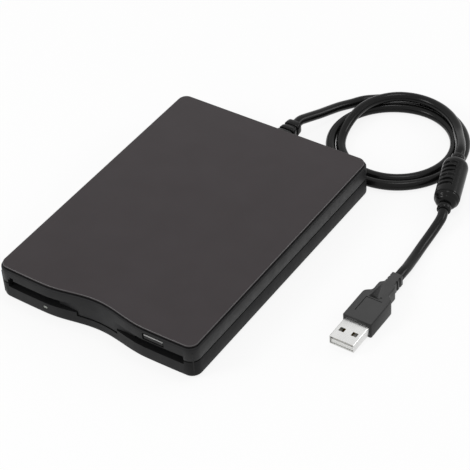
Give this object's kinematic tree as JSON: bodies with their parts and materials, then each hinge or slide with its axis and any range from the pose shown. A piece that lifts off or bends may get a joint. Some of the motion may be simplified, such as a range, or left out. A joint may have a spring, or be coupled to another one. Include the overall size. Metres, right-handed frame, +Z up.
{
  "type": "external floppy disk drive",
  "caption": "Slim external disk drive with a trim plate, dust door, eject button, captive cord, ferrite and flat plug, and its mechanism inside.",
  "frame": {"origin": "on the table under the middle of the case, at the bottom of its feet", "axes": "+Z up, the front with the disk slot faces -Y, the eject button is on the +X side of it"},
  "size_m": [0.1535, 0.2118, 0.018],
  "materials": {
    "case_plastic": "fine texture",
    "plate_finish": "satin",
    "light_plastic": "clear",
    "foot_rubber": "matt",
    "cord_rubber": "satin",
    "plug_plastic": "satin",
    "sheet_steel": "plated",
    "bright_steel": "ground",
    "cast_alloy": "die cast",
    "plug_metal": "nickel plated",
    "circuit_board": "solder mask",
    "chip_plastic": "moulded",
    "coil_copper": "enamelled wire",
    "bearing_brass": "sintered",
    "head_ceramic": "ceramic",
    "ferrite": "sintered",
    "tongue_plastic": "moulded",
    "flat_cable": "film"
  },
  "bodies": {
    "root": {"lower_shell": "case_plastic", "upper_shell": "case_plastic", "top_plate": "plate_finish", "power_light": "light_plastic", "rubber_feet": "foot_rubber", "cord_loop": "cord_rubber", "cord_tail": "cord_rubber", "strain_relief": "cord_rubber", "ferrite_cover": "cord_rubber", "plug_grip": "plug_plastic", "chassis": "sheet_steel", "drive_cover": "sheet_steel", "screw_bracket": "sheet_steel", "rod_clamps": "sheet_steel", "case_screws": "bright_steel", "guide_rod": "bright_steel", "chassis_screws": "bright_steel", "stepper_motor": "cast_alloy", "plug_shell": "plug_metal", "spindle_board": "circuit_board", "controller_board": "circuit_board", "interface_board": "circuit_board", "controller_chips": "chip_plastic", "interface_chip": "chip_plastic", "track_sensor": "chip_plastic", "disk_switches": "chip_plastic", "stator_coils": "coil_copper", "spindle_bearing": "bearing_brass", "plug_contacts": "bearing_brass", "ferrite_core": "ferrite", "plug_tongue": "tongue_plastic", "ribbon_cable": "flat_cable"},
    "dust_door": {"dust_door": "case_plastic"},
    "eject": {"eject_button": "case_plastic", "eject_slider": "sheet_steel"},
    "holder": {"disk_holder": "sheet_steel", "holder_pins": "bright_steel"},
    "rotor": {"spindle_rotor": "cast_alloy", "spindle_hub": "bright_steel"},
    "carriage": {"head_carriage": "cast_alloy", "lower_head": "head_ceramic"},
    "arm": {"upper_arm": "cast_alloy", "upper_head": "head_ceramic"},
    "screw": {"lead_screw": "bright_steel"}
  },
  "joints": [
    {"name": "door_swing", "type": "hinge", "parent": "root", "child": "dust_door", "pos_m": [0, -0.0657, 0.0123], "axis": [1, 0, 0], "range_deg": [0, 88], "stiffness_Nm_per_rad": 0.0006},
    {"name": "eject_slide", "type": "slide", "parent": "root", "child": "eject", "axis": [0, -1, 0], "range_m": [0, 0.0045]},
    {"name": "holder_lift", "type": "slide", "parent": "root", "child": "holder", "axis": [0, 0, -1], "range_m": [0, 0.0018]},
    {"name": "spindle_spin", "type": "hinge", "parent": "root", "child": "rotor", "pos_m": [0, -0.019, 0.006], "axis": [0, 0, 1], "continuous": true},
    {"name": "head_slide", "type": "slide", "parent": "root", "child": "carriage", "axis": [0, -1, 0], "range_m": [0, 0.0148]},
    {"name": "arm_tilt", "type": "hinge", "parent": "carriage", "child": "arm", "pos_m": [0, 0.047, 0.0134], "axis": [1, 0, 0], "range_deg": [0, 4.5]},
    {"name": "screw_turn", "type": "hinge", "parent": "root", "child": "screw", "pos_m": [-0.016, 0.04, 0.008], "axis": [0, 1, 0], "range_deg": [0, 1776]}
  ],
  "couplings": [
    {"joint": "holder_lift", "follows": "eject_slide", "ratio": 0.4},
    {"joint": "arm_tilt", "follows": "eject_slide", "rad_per_m": 17.453},
    {"joint": "screw_turn", "follows": "head_slide", "rad_per_m": 2094.4}
  ]
}
